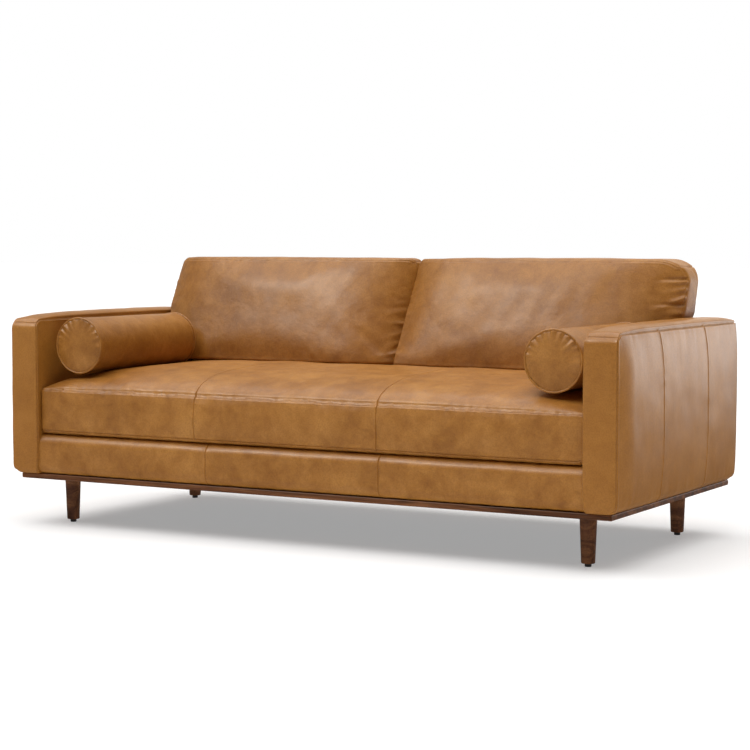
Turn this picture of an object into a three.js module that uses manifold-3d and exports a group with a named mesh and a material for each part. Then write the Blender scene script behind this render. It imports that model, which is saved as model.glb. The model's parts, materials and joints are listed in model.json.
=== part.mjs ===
// A three-seat leather sofa: a box-armed upholstered body on a thin walnut plinth and four turned
// legs, with one bench seat cushion, two loose back cushions and two loose bolsters.
// Units are millimetres. X runs along the sofa, Y from front to back and Z up. The origin is on
// the floor under the middle of the sofa.
import * as THREE from "three";
import { mergeVertices } from "three/addons/utils/BufferGeometryUtils.js";
import Module from "manifold-3d";

const wasm = await Module();
wasm.setup();

// Driving dimensions
const SEAM_WIDTH = 2150; // between the outer seams of the two arms
const SEAM_DEPTH = 1000; // between the front seam and the back seam of an arm
const ARM_WIDTH = 99; // between the two seams of an arm's front panel
const SEAM_HEIGHT = 677; // top seams of the arms and of the back, above the floor
const ARM_BULGE = 13; // how far the padded outer side of an arm stands past its seams
const ARM_CROWN = 14; // how far the padded top of an arm stands past its seams
const CROWN = 4; // how far the other padded faces of the body stand past their seams
const PLINTH_UNDERSIDE = 153;
const PLINTH_THICKNESS = 18;
const PLINTH_INSET_X = 22.5; // from the arms' outer seams in to the plinth's edge
const PLINTH_INSET_Y = 19.5; // from the front and back seams in to the plinth's edge
const PLINTH_STRIP = 80; // width of each plinth strip
const LEG_X = 932;
const LEG_FRONT_Y = -365;
const LEG_REAR_Y = 345;
const LEG_TOP_RADIUS = 26;
const LEG_FOOT_RADIUS = 20.5;
const GLIDE_HEIGHT = 10;
const RAIL_TOP = 302; // top of the upholstered front rail
const RAIL_SETBACK = 6; // from the arms' front seams back to the front rail
const BACK_THICKNESS = 108; // the back, without its crown
const SEAT_SEAM_Z = 447; // the seat cushion's top seam
const SEAT_TOP = 521; // the highest point of the seat cushion's crown
const OVERALL_HEIGHT = 880; // top of the back cushions
const BOLSTER_RADIUS = 93; // over the welts
const BOLSTER_X = 849;
const BOLSTER_FRONT_Y = -432;
const BOLSTER_LENGTH = 532; // between the two welts
const BOLSTER_BASE = 501; // where the bolsters rest on the shoulder of the seat cushion

// Thicknesses and clearances
const LEATHER = 3; // leather with its wadding
const PLY = 18;
const TIMBER = 30;
const RAIL_PADDING = 24; // leather and foam in front of the front timber rail
const DECK_DROP = 8.3; // from the top of the front rail down to the timber rails
const GAP = 0.3; // left between pieces that touch
const CORE_GAP = 1; // left between a foam core and its cover

// Worked out from the driving dimensions
const PLINTH_TOP = PLINTH_UNDERSIDE + PLINTH_THICKNESS;
const BODY_BASE = PLINTH_TOP + GAP;
const ARM_OUT = SEAM_WIDTH / 2;
const ARM_IN = ARM_OUT - ARM_WIDTH;
const BODY_FRONT = -SEAM_DEPTH / 2;
const BODY_REAR = SEAM_DEPTH / 2;
const BACK_FRONT = BODY_REAR - BACK_THICKNESS; // the back's inner face
const INNER_X = ARM_IN - 2 * GAP; // half the width between the arms
const PLINTH_X = ARM_OUT - PLINTH_INSET_X;
const PLINTH_Y = BODY_REAR - PLINTH_INSET_Y;
const WELL_X = PLINTH_X - PLINTH_STRIP - GAP; // half sizes of the opening inside the plinth
const WELL_Y = PLINTH_Y - PLINTH_STRIP - GAP;
const RAIL_FRONT = BODY_FRONT + RAIL_SETBACK;
const BEAM_FRONT = RAIL_FRONT + RAIL_PADDING; // front face of the timber rail inside the front rail
const BEAM_REAR = BEAM_FRONT + TIMBER;
const BEAM_TOP = RAIL_TOP - DECK_DROP;
const REAR_BEAM_FRONT = BACK_FRONT - GAP - TIMBER;

// Materials: each piece gets one of its own
const finish = (color, roughness, metalness = 0) => () =>
  new THREE.MeshStandardMaterial({ color, roughness, metalness });
const leather = finish(0xa86e35, 0.45);
const walnut = finish(0x5a3220, 0.4);
const timber = finish(0xc9a777, 0.8);
const plywood = finish(0xd2b587, 0.8);
const foam = finish(0xe8dfc8, 0.95);
const wadding = finish(0xf0eee8, 0.95);
const blackCloth = finish(0x1b1b1d, 0.95);
const webbingCloth = finish(0x6b5a45, 0.9);
const zincSteel = finish(0xb4b7ba, 0.35, 0.9);
const blackNylon = finish(0x141414, 0.55);

const sofa = new THREE.Group();

function add(name, geometry, material, x = 0, y = 0, z = 0) {
  const mesh = new THREE.Mesh(geometry, material());
  mesh.name = name;
  mesh.position.set(x, y, z);
  sofa.add(mesh);
}

// manifold-3d joins and cuts

function solidOf(geometry) {
  const bare = new THREE.BufferGeometry();
  bare.setAttribute("position", geometry.getAttribute("position"));
  bare.setIndex(geometry.getIndex());
  const merged = mergeVertices(bare, 1e-3);
  return new wasm.Manifold(
    new wasm.Mesh({
      numProp: 3,
      vertProperties: merged.attributes.position.array,
      triVerts: new Uint32Array(merged.index.array),
    }),
  );
}

function geometryOf(solid) {
  const mesh = solid.getMesh();
  const geometry = new THREE.BufferGeometry();
  geometry.setAttribute("position", new THREE.BufferAttribute(mesh.vertProperties, 3));
  geometry.setIndex(new THREE.BufferAttribute(mesh.triVerts, 1));
  return geometry;
}

function cut(geometry, ...tools) {
  const pieces = tools.map(solidOf);
  const solid = pieces.reduce((rest, tool) => rest.subtract(tool), solidOf(geometry));
  return geometryOf(solid);
}

// Basic shapes

// A plain box between two corners.
function box(low, high) {
  const size = high.map((v, i) => v - low[i]);
  const centre = high.map((v, i) => (v + low[i]) / 2);
  return new THREE.BoxGeometry(...size).translate(...centre);
}

// Extrudes a shape drawn with X as world Y and Y as world Z, from x0 to x1.
function extrudeAlongX(shape, x0, x1) {
  const geometry = new THREE.ExtrudeGeometry(shape, {
    depth: x1 - x0,
    bevelEnabled: false,
    curveSegments: 5,
  });
  const basis = new THREE.Matrix4().makeBasis(
    new THREE.Vector3(0, 1, 0),
    new THREE.Vector3(0, 0, 1),
    new THREE.Vector3(1, 0, 0),
  );
  return geometry.applyMatrix4(basis).translate(x0, 0, 0);
}

// Turns a profile of [radius, height] points about the Z axis.
function turned(profile, sides) {
  const points = profile.map(([radius, height]) => new THREE.Vector2(radius, height));
  return new THREE.LatheGeometry(points, sides).rotateX(Math.PI / 2);
}

// How much of a bulge is left at t, which runs from -1 to 1 across a face.
const dome = (t, power) => Math.sqrt(1 - Math.abs(t) ** power);

// A padded block: a box with rounded edges whose faces swell by the amounts in bulge. Its grid is
// finer towards the edges, and halving the steps keeps the points that are left where they were.
function padded({ low, high, radius, steps, bulge, powers = [4, 4, 4] }) {
  const half = high.map((v, i) => (v - low[i]) / 2);
  const centre = high.map((v, i) => (v + low[i]) / 2);
  const geometry = new THREE.BoxGeometry(2, 2, 2, ...steps);
  const position = geometry.getAttribute("position");
  for (let i = 0; i < position.count; i++) {
    const t = [position.getX(i), position.getY(i), position.getZ(i)].map((v) =>
      Math.sin((v * Math.PI) / 2),
    );
    const point = t.map((v, axis) => v * half[axis]);
    const inner = point.map((v, axis) => {
      const reach = half[axis] - radius;
      return THREE.MathUtils.clamp(v, -reach, reach);
    });
    const out = point.map((v, axis) => v - inner[axis]);
    const length = Math.hypot(...out);
    const domes = t.map((v, axis) => dome(v, powers[axis]));
    const swollen = t.map((v, axis) => {
      const [a, b] = [(axis + 1) % 3, (axis + 2) % 3];
      const [lowSide, highSide] = bulge[axis];
      const swell = v < 0 ? lowSide : highSide;
      return inner[axis] + (out[axis] / length) * radius + swell * v * domes[a] * domes[b];
    });
    position.setXYZ(i, ...swollen.map((v, axis) => v + centre[axis]));
  }
  geometry.deleteAttribute("normal");
  geometry.deleteAttribute("uv");
  return geometry;
}

// The same padded block, smaller by inset all round and with half as many steps.
function shrunk(block, inset) {
  return {
    ...block,
    low: block.low.map((v) => v + inset),
    high: block.high.map((v) => v - inset),
    steps: block.steps.map((v) => v / 2),
  };
}

// Moves every point of a geometry by a rule.
function warp(geometry, rule) {
  const position = geometry.getAttribute("position");
  for (let i = 0; i < position.count; i++) {
    const moved = rule(position.getX(i), position.getY(i), position.getZ(i));
    position.setXYZ(i, ...moved);
  }
  return geometry;
}

// Plinth: four mitred walnut strips with a rounded outer edge

function plinthStrip(halfLength) {
  const edge = 4;
  const profile = new THREE.Shape();
  profile.moveTo(PLINTH_STRIP, 0);
  profile.lineTo(PLINTH_STRIP, PLINTH_THICKNESS);
  profile.lineTo(edge, PLINTH_THICKNESS);
  profile.absarc(edge, PLINTH_THICKNESS - edge, edge, Math.PI / 2, Math.PI, false);
  profile.absarc(edge, edge, edge, Math.PI, 1.5 * Math.PI, false);
  profile.closePath();
  const strip = extrudeAlongX(profile, -halfLength, halfLength);
  // Each mitre is cut by a block turned by 45 degrees, set back by half of the gap between strips.
  const size = 4 * PLINTH_STRIP;
  const mitre = (side) =>
    new THREE.BoxGeometry(size, size, size)
      .translate((side * size) / 2, 0, 0)
      .rotateZ((side * Math.PI) / 4)
      .translate(side * (halfLength - GAP), 0, 0);
  return cut(strip, mitre(-1), mitre(1));
}

function addPlinth() {
  const sides = [
    ["front", PLINTH_X, PLINTH_Y, 0],
    ["right", PLINTH_Y, PLINTH_X, 0.5],
    ["rear", PLINTH_X, PLINTH_Y, 1],
    ["left", PLINTH_Y, PLINTH_X, 1.5],
  ];
  for (const [side, halfLength, reach, halfTurns] of sides) {
    const strip = plinthStrip(halfLength).translate(0, -reach, 0);
    strip.rotateZ(halfTurns * Math.PI);
    add(`plinth_${side}`, strip, walnut, 0, 0, PLINTH_UNDERSIDE);
  }
}

// Legs, each with its bolt, mounting plate, glide and corner block

const BOLT_RADIUS = 4;
const BOLT_DEPTH = 40; // how deep the bolt sits in the leg
const BOLT_RISE = 35; // how far it stands above the leg
const PLATE_SIZE = 60;
const PLATE_THICKNESS = 3;
const SPIGOT_RADIUS = 3; // the glide's pin in the end of the leg
const SPIGOT_LENGTH = 18;
const BLOCK_BASE = PLINTH_UNDERSIDE + GAP + PLATE_THICKNESS + GAP;
const BLOCK_TOP = 220;
const BLOCK_WIDTH = 110;
const LEG_SIDES = 16;
const BORE_SIDES = 12;

function leg() {
  const length = PLINTH_UNDERSIDE - GLIDE_HEIGHT - GAP;
  const chamfer = 2.5;
  const boltHole = BOLT_RADIUS + GAP;
  const pinHole = SPIGOT_RADIUS + GAP;
  const profile = [
    [0, SPIGOT_LENGTH + 1],
    [pinHole, SPIGOT_LENGTH + 1],
    [pinHole, 0],
    [LEG_FOOT_RADIUS - chamfer, 0],
    [LEG_FOOT_RADIUS, chamfer],
    [LEG_TOP_RADIUS, length],
    [boltHole, length],
    [boltHole, length - BOLT_DEPTH - 1],
    [0, length - BOLT_DEPTH - 1],
  ];
  return turned(profile, LEG_SIDES);
}

function legBolt() {
  const bottom = -BOLT_DEPTH;
  const profile = [
    [0, bottom],
    [BOLT_RADIUS - 1.5, bottom],
    [BOLT_RADIUS, bottom + 4],
    [BOLT_RADIUS, BOLT_RISE - 1],
    [BOLT_RADIUS - 1, BOLT_RISE],
    [0, BOLT_RISE],
  ];
  return turned(profile, BORE_SIDES);
}

function legPlate() {
  const half = PLATE_SIZE / 2;
  const plate = box([-half, -half, 0], [half, half, PLATE_THICKNESS]);
  const radius = BOLT_RADIUS + GAP;
  const bore = new THREE.CylinderGeometry(radius, radius, 4 * PLATE_THICKNESS, BORE_SIDES);
  return cut(plate, bore.rotateX(Math.PI / 2));
}

function glide() {
  const radius = 10;
  const chamfer = 1.5;
  const profile = [
    [0, 0],
    [radius - chamfer, 0],
    [radius, chamfer],
    [radius, GLIDE_HEIGHT - 1],
    [radius - 1, GLIDE_HEIGHT - GAP],
    [SPIGOT_RADIUS, GLIDE_HEIGHT - GAP],
    [SPIGOT_RADIUS, GLIDE_HEIGHT + SPIGOT_LENGTH],
    [0, GLIDE_HEIGHT + SPIGOT_LENGTH],
  ];
  return turned(profile, BORE_SIDES);
}

// A stepped block: its foot fills the corner of the plinth's opening, and its upper part reaches
// out to the timber rail at beamY. The bolt goes up into it.
function cornerBlock(legY, beamY) {
  const side = Math.sign(legY);
  const inner = side * (WELL_Y - BLOCK_WIDTH);
  const shape = new THREE.Shape();
  shape.moveTo(inner, BLOCK_BASE);
  shape.lineTo(side * WELL_Y, BLOCK_BASE);
  shape.lineTo(side * WELL_Y, PLINTH_TOP + GAP);
  shape.lineTo(beamY, PLINTH_TOP + GAP);
  shape.lineTo(beamY, BLOCK_TOP);
  shape.lineTo(inner, BLOCK_TOP);
  shape.closePath();
  const block = extrudeAlongX(shape, WELL_X - BLOCK_WIDTH, WELL_X);
  const radius = BOLT_RADIUS + GAP;
  const hole = new THREE.CylinderGeometry(radius, radius, 2 * BOLT_RISE, BORE_SIDES);
  hole.rotateX(Math.PI / 2).translate(LEG_X, legY, PLINTH_UNDERSIDE + GAP);
  return cut(block, hole);
}

const mirrored = (geometry) => geometryOf(solidOf(geometry).mirror([1, 0, 0]));

function addLegs() {
  const rows = [
    ["front", LEG_FRONT_Y, BEAM_REAR + GAP],
    ["rear", LEG_REAR_Y, REAR_BEAM_FRONT - GAP],
  ];
  const columns = [
    ["left", -1],
    ["right", 1],
  ];
  for (const [row, legY, beamY] of rows) {
    for (const [column, side] of columns) {
      const place = `${row}_${column}`;
      const x = side * LEG_X;
      const block = cornerBlock(legY, beamY);
      add(`leg_${place}`, leg(), walnut, x, legY, GLIDE_HEIGHT);
      add(`leg_bolt_${place}`, legBolt(), zincSteel, x, legY, PLINTH_UNDERSIDE);
      add(`leg_plate_${place}`, legPlate(), zincSteel, x, legY, PLINTH_UNDERSIDE + GAP);
      add(`glide_${place}`, glide(), blackNylon, x, legY, 0);
      add(`corner_block_${place}`, side < 0 ? mirrored(block) : block, timber);
    }
  }
}

// Timber and suspension under the seat

const CROSS_RAIL_X = 320;
const STRAP_THICKNESS = 2;
const STRAP_WIDTH = 70;
const STRAP_COUNT = 5;
const CLOTH = 1.2;

function addBase() {
  const beam = (y0, y1) => box([-INNER_X, y0, BODY_BASE + LEATHER + GAP], [INNER_X, y1, BEAM_TOP]);
  add("base_rail_front", beam(BEAM_FRONT, BEAM_REAR), timber);
  add("base_rail_rear", beam(REAR_BEAM_FRONT, REAR_BEAM_FRONT + TIMBER), timber);
  const crossRail = box(
    [-TIMBER / 2, BEAM_REAR + GAP, BLOCK_TOP],
    [TIMBER / 2, REAR_BEAM_FRONT - GAP, BEAM_TOP - 10],
  );
  add("cross_rail_left", crossRail.clone(), timber, -CROSS_RAIL_X);
  add("cross_rail_right", crossRail.clone(), timber, CROSS_RAIL_X);
}

function addSuspension() {
  const low = BEAM_TOP + GAP;
  const spacing = (2 * INNER_X) / STRAP_COUNT;
  for (let i = 0; i < STRAP_COUNT; i++) {
    const strap = box(
      [-STRAP_WIDTH / 2, BEAM_FRONT + 2, low],
      [STRAP_WIDTH / 2, BACK_FRONT - 2, low + STRAP_THICKNESS],
    );
    add(`webbing_${i + 1}`, strap, webbingCloth, (i - (STRAP_COUNT - 1) / 2) * spacing);
  }
  const clothLow = low + STRAP_THICKNESS + GAP;
  const deck = box(
    [-INNER_X, BEAM_FRONT, clothLow],
    [INNER_X, BACK_FRONT - GAP, clothLow + CLOTH],
  );
  add("deck_cloth", deck, blackCloth);
}

// The cloth that closes the underside, with a square opening round each leg plate.
function addDustCover() {
  const hole = PLATE_SIZE / 2 + GAP;
  const low = BLOCK_BASE - GAP - CLOTH;
  const reach = 4 * CLOTH;
  const sheet = box([-WELL_X, -WELL_Y, low], [WELL_X, WELL_Y, low + CLOTH]);
  const holes = [];
  for (const x of [-LEG_X, LEG_X]) {
    for (const y of [LEG_FRONT_Y, LEG_REAR_Y]) {
      holes.push(box([x - hole, y - hole, low - reach], [x + hole, y + hole, low + reach]));
    }
  }
  add("dust_cover", cut(sheet, ...holes), blackCloth);
}

// Upholstered front rail: a leather cover wrapped round foam and the timber rail

const RAIL_EDGE = 20; // radius of the rail's front edges
const RAIL_FOAM_MARGIN = 14; // from the rail's top and bottom to its foam

function railProfile(inset) {
  const round = RAIL_EDGE - inset;
  const front = RAIL_FRONT + inset;
  const top = RAIL_TOP - inset;
  const bottom = BODY_BASE + inset;
  const points = new THREE.Path();
  points.moveTo(BEAM_REAR, top);
  points.lineTo(front + round, top);
  points.absarc(front + round, top - round, round, Math.PI / 2, Math.PI, false);
  points.absarc(front + round, bottom + round, round, Math.PI, 1.5 * Math.PI, false);
  points.lineTo(BEAM_REAR, bottom);
  return points.getPoints(5);
}

function addFrontRail() {
  const outline = [...railProfile(0), ...railProfile(LEATHER).reverse()];
  const cover = extrudeAlongX(new THREE.Shape(outline), -INNER_X, INNER_X);
  add("rail_cover", cover, leather);
  const padding = padded({
    low: [-INNER_X, RAIL_FRONT + LEATHER + CORE_GAP, BODY_BASE + RAIL_FOAM_MARGIN],
    high: [INNER_X, BEAM_FRONT - GAP, RAIL_TOP - RAIL_FOAM_MARGIN],
    radius: 6,
    steps: [2, 2, 4],
    bulge: [[0, 0], [0, 0], [0, 0]],
  });
  add("rail_foam", padding, foam);
}

// Arms and back: a plywood panel inside a foam block inside a leather cover, all open below

const BODY_EDGE = 14; // radius of the edges of the arms and the back
const PANEL_INSET = 34; // from an arm's or the back's outer faces in to the panel's edges
const PANEL_MARGIN = 10; // from the panel to the edge of the leather turned in round it

// A cover, its foam and its panel, from the cover's outer block. The leather is turned in under the
// foam and stops short of the panel, which stands on the plinth.
function upholstered(name, block, panelLow, panelHigh) {
  const reach = 4 * LEATHER;
  const opening = box(
    [panelLow[0] - PANEL_MARGIN, panelLow[1] - PANEL_MARGIN, panelLow[2] - reach],
    [panelHigh[0] + PANEL_MARGIN, panelHigh[1] + PANEL_MARGIN, panelLow[2] + reach],
  );
  const slot = box(
    [panelLow[0] - GAP, panelLow[1] - GAP, panelLow[2] - reach],
    panelHigh.map((v) => v + GAP),
  );
  const cover = cut(padded(block), padded(shrunk(block, LEATHER)), opening);
  const stuffing = cut(padded(shrunk(block, LEATHER + CORE_GAP)), slot);
  add(`${name}_cover`, cover, leather);
  add(`${name}_foam`, stuffing, foam);
  add(`${name}_panel`, box(panelLow, panelHigh), plywood);
}

function addArm(name, side) {
  const [near, far] = side < 0 ? [-ARM_OUT, -ARM_IN] : [ARM_IN, ARM_OUT];
  const middle = (near + far) / 2;
  const block = {
    low: [near, BODY_FRONT, BODY_BASE],
    high: [far, BODY_REAR, SEAM_HEIGHT],
    radius: BODY_EDGE,
    steps: [4, 8, 6],
    bulge: [side < 0 ? [ARM_BULGE, 0] : [0, ARM_BULGE], [CROWN, CROWN], [0, ARM_CROWN]],
    powers: [4, 6, 4],
  };
  upholstered(
    name,
    block,
    [middle - PLY / 2, BODY_FRONT + PANEL_INSET, BODY_BASE],
    [middle + PLY / 2, BODY_REAR - PANEL_INSET, SEAM_HEIGHT - PANEL_INSET],
  );
}

function addBack() {
  const middle = (BACK_FRONT + BODY_REAR) / 2;
  const block = {
    low: [-INNER_X, BACK_FRONT, BODY_BASE],
    high: [INNER_X, BODY_REAR, SEAM_HEIGHT],
    radius: BODY_EDGE,
    steps: [8, 4, 6],
    bulge: [[0, 0], [0, CROWN], [0, CROWN]],
    powers: [8, 4, 4],
  };
  upholstered(
    "back",
    block,
    [-INNER_X + PANEL_INSET, middle - PLY / 2, BODY_BASE],
    [INNER_X - PANEL_INSET, middle + PLY / 2, SEAM_HEIGHT - PANEL_INSET],
  );
}

// Loose cushions: a leather cover, open where its zip runs along the back, over a foam core

function addCushion(name, block, zip, lean = (x, y, z) => [x, y, z]) {
  const make = (shape) => warp(padded(shape), lean);
  const cover = cut(make(block), make(shrunk(block, LEATHER)), zip);
  add(`${name}_cover`, cover, leather);
  add(`${name}_core`, make(shrunk(block, LEATHER + CORE_GAP)), foam);
}

const ZIP_HEIGHT = 8;
const SEAT_ZIP = 1400; // lengths of the zips
const BACK_ZIP = 600;
const BOLSTER_ZIP = 300;

const SEAT_BASE = RAIL_TOP + 1;
const SEAT_FRONT = BODY_FRONT + 14;
const SEAT_CLEARANCE = 4; // from the seat cushion to the arms and to the back

function addSeatCushion() {
  const halfWidth = INNER_X - SEAT_CLEARANCE;
  const rear = BACK_FRONT - SEAT_CLEARANCE;
  const block = {
    low: [-halfWidth, SEAT_FRONT, SEAT_BASE],
    high: [halfWidth, rear, SEAT_SEAM_Z],
    radius: 10,
    steps: [12, 8, 4],
    bulge: [[0, 0], [4, 0], [0, SEAT_TOP - SEAT_SEAM_Z]],
    powers: [4.7, 3, 4],
  };
  const zipZ = (SEAT_BASE + SEAT_SEAM_Z) / 2;
  const zip = box(
    [-SEAT_ZIP / 2, rear - 4 * LEATHER, zipZ - ZIP_HEIGHT / 2],
    [SEAT_ZIP / 2, rear + 4 * LEATHER, zipZ + ZIP_HEIGHT / 2],
  );
  addCushion("seat_cushion", block, zip);
}

// The back cushions lean back and thin out towards the top.
const BACK_BASE = SEAT_TOP + 2;
const BACK_CUSHION_WIDTH = 948;
const BACK_CUSHION_DEPTH = 230; // at the bottom
const BACK_CUSHION_Y = 225; // middle of the cushion's thickness at the bottom
const BACK_SLOPE = 0.32;
const BACK_TAPER = 0.12; // how much of the depth is lost by the top
const BACK_CROWN = 14; // how far the front face swells
const BACK_SPACING = 7; // between the two back cushions

function addBackCushion(name, side) {
  const height = OVERALL_HEIGHT - BACK_BASE;
  const half = BACK_CUSHION_WIDTH / 2;
  const block = {
    low: [-half, -BACK_CUSHION_DEPTH / 2 + BACK_CROWN, 0],
    high: [half, BACK_CUSHION_DEPTH / 2, height - CROWN],
    radius: 40,
    steps: [8, 4, 6],
    bulge: [[0, 0], [BACK_CROWN, 0], [0, CROWN]],
    powers: [4, 4, 4],
  };
  const x = side * (half + BACK_SPACING / 2);
  const lean = (u, v, h) => [
    x + u,
    BACK_CUSHION_Y + BACK_SLOPE * h + v * (1 - (BACK_TAPER * h) / height),
    BACK_BASE + h,
  ];
  const zip = box(
    [x - BACK_ZIP / 2, BACK_CUSHION_Y, BACK_BASE - 4 * LEATHER],
    [x + BACK_ZIP / 2, BACK_CUSHION_Y + ZIP_HEIGHT, BACK_BASE + 4 * LEATHER],
  );
  addCushion(name, block, zip, lean);
}

// Bolsters: a cylinder of foam in a leather cover with a welt round each end

const BOLSTER_SIDES = 16;
const WELT_RADIUS = 3.5;
const WELT_SIDES = 5;
const WELT_PROUD = 3; // how far the welts stand past the bolster's leather

// A cylinder along Y with chamfered rims and slightly domed ends.
function bolsterShape(inset) {
  const radius = BOLSTER_RADIUS - WELT_PROUD - inset;
  const end = BOLSTER_LENGTH / 2 - inset;
  const chamfer = 7;
  const swell = 6;
  const profile = [
    [0, -end - swell],
    [radius - chamfer, -end],
    [radius, -end + chamfer],
    [radius, end - chamfer],
    [radius - chamfer, end],
    [0, end + swell],
  ];
  return turned(profile, BOLSTER_SIDES).rotateX(-Math.PI / 2);
}

function addBolster(name, side) {
  const x = side * BOLSTER_X;
  const y = BOLSTER_FRONT_Y + BOLSTER_LENGTH / 2;
  const z = BOLSTER_BASE + BOLSTER_RADIUS;
  const zip = box(
    [-2 * BOLSTER_RADIUS, -BOLSTER_ZIP / 2, -ZIP_HEIGHT / 2],
    [0, BOLSTER_ZIP / 2, ZIP_HEIGHT / 2],
  );
  if (side > 0) zip.rotateZ(Math.PI);
  const cover = cut(bolsterShape(0), bolsterShape(LEATHER), zip);
  add(`${name}_cover`, cover, leather, x, y, z);
  add(`${name}_core`, bolsterShape(LEATHER + CORE_GAP), wadding, x, y, z);
  const major = BOLSTER_RADIUS - WELT_RADIUS;
  for (const [end, direction] of [["front", -1], ["rear", 1]]) {
    const welt = new THREE.TorusGeometry(major, WELT_RADIUS, WELT_SIDES, BOLSTER_SIDES);
    welt.rotateX(Math.PI / 2);
    add(`${name}_welt_${end}`, welt, leather, x, y + (direction * BOLSTER_LENGTH) / 2, z);
  }
}

addPlinth();
addLegs();
addBase();
addSuspension();
addDustCover();
addFrontRail();
addArm("arm_left", -1);
addArm("arm_right", 1);
addBack();
addSeatCushion();
addBackCushion("back_cushion_left", -1);
addBackCushion("back_cushion_right", 1);
addBolster("bolster_left", -1);
addBolster("bolster_right", 1);

export default sofa;
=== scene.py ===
# The looks of a three-seat leather sofa on a walnut plinth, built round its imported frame.
# Units are metres. X runs along the sofa, Y from front to back and Z up.
import json
import math

import bpy
import numpy as np
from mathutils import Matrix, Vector


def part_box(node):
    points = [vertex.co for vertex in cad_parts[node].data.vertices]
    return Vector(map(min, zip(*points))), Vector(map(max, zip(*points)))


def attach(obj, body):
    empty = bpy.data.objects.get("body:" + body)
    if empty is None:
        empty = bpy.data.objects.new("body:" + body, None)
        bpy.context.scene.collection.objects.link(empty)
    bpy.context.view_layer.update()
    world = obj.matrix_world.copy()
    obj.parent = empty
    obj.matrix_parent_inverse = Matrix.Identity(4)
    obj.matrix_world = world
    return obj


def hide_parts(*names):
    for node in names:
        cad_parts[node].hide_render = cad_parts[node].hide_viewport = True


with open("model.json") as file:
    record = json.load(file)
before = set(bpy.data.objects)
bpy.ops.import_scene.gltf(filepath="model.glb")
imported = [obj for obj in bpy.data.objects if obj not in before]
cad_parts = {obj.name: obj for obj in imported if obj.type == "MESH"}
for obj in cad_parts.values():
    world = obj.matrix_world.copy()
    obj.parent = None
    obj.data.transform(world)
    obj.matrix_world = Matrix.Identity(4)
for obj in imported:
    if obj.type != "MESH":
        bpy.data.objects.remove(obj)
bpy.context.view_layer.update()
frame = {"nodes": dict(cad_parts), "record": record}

ROOT = "frame"
MM = 0.001
QUARTER = math.pi / 2
TURNS = ((0, 1, 2), (1, 2, 0), (2, 0, 1))  # each axis with the two that follow it
TINY = 1e-12  # stands in for a length of 0 under a division
ON_FACE = 0.999  # a point this far out from the middle, as a share, lies on a face
ARM_BULGE = 13 * MM  # how far the outer side of an arm swells past its seams, as in the part
CROWN = 4 * MM  # the same for the other faces of the body
SEAT_SEAM_RISE = 144 * MM  # from the underside of the seat cushion up to its top seam


# Grids


def graded(*knots):
    """Positions between the first and the last knot. Each knot is (position, spacing there)."""
    places = [k[0] for k in knots]
    spacings = [k[1] for k in knots]
    fine = np.linspace(places[0], places[-1], 4001)
    density = 1 / np.interp(fine, places, spacings)
    steps = (density[1:] + density[:-1]) / 2 * np.diff(fine)
    total = np.cumsum([0, *steps])
    count = math.ceil(total[-1])
    return np.interp(np.linspace(0, total[-1], count + 1), total, fine)


def finer_ends(low, high, at_ends, between, reach=0.1):
    """Positions that lie closer together near both ends."""
    return graded((low, at_ends), (low + reach, between), (high - reach, between), (high, at_ends))


CLUSTER = np.array([-9, -6, -3.8, -2.4, -1.3, -0.6, 0, 0.6, 1.3, 2.4, 3.8, 6, 9]) * MM
ARC = np.tan(np.radians(np.linspace(0, 45, 6)))[1:]


def with_marks(places, *marks):
    """The same positions, with a close cluster of rows at each seam."""
    for mark in marks:
        far = np.abs(places - mark) > CLUSTER[-1] * 1.15
        places = np.concatenate([places[far], mark + CLUSTER])
    return np.unique(np.round(places, 6))


def with_arcs(places, low_reach=5 * MM, high_reach=5 * MM):
    """The same positions, with rows near each end that share out a quarter circle evenly."""
    low, high = places[0], places[-1]
    middle = (places >= low + low_reach) & (places <= high - high_reach)
    low_arc = low + low_reach * (1 - ARC)
    high_arc = high - high_reach * (1 - ARC)
    ends = [[low + low_reach, high - high_reach], low_arc, high_arc]
    return np.unique(np.round(np.concatenate([places[middle], *ends]), 6))


def box_grid(xs, ys, zs):
    """The surface of a box on a grid of rows: its points, and its quads facing out."""
    rows = (xs, ys, zs)
    counts = [len(r) for r in rows]
    quads = []
    for axis, a, b in TURNS:
        for end in (0, counts[axis] - 1):
            index = np.zeros((counts[a], counts[b], 3), int)
            index[..., axis] = end
            index[..., a], index[..., b] = np.indices((counts[a], counts[b]))
            key = (index[..., 0] * counts[1] + index[..., 1]) * counts[2] + index[..., 2]
            corners = [key[:-1, :-1], key[1:, :-1], key[1:, 1:], key[:-1, 1:]]
            side = np.stack([c.ravel() for c in corners], axis=1)
            quads.append(side if end else side[:, ::-1])
    keys, quads = np.unique(np.concatenate(quads), return_inverse=True)
    index = np.stack(np.unravel_index(keys, counts), axis=1)
    points = np.stack([rows[axis][index[:, axis]] for axis in range(3)], axis=1)
    return points, quads.reshape(-1, 4)


# Shapes


def smoothstep(low, high, value):
    t = np.clip((value - low) / (high - low), 0, 1)
    return t * t * (3 - 2 * t)


def rounded(points, low, high, radii):
    """Rounds the edges of a box. radii says how far the rounding reaches along each axis, as
    [low side, high side] for each, the same for all points or one set for each."""
    radii = np.broadcast_to(np.asarray(radii, float), (len(points), 3, 2))
    inner = np.clip(points, low + radii[..., 0], high - radii[..., 1])
    reach = np.where(points < inner, radii[..., 0], radii[..., 1])
    out = (points - inner) / reach
    length = np.maximum(np.linalg.norm(out, axis=1, keepdims=True), TINY)
    return inner + out / length * reach


def across(points, low, high):
    """Each coordinate as -1 to 1 between low and high."""
    return np.clip((points - (low + high) / 2) / ((high - low) / 2), -1, 1)


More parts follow.
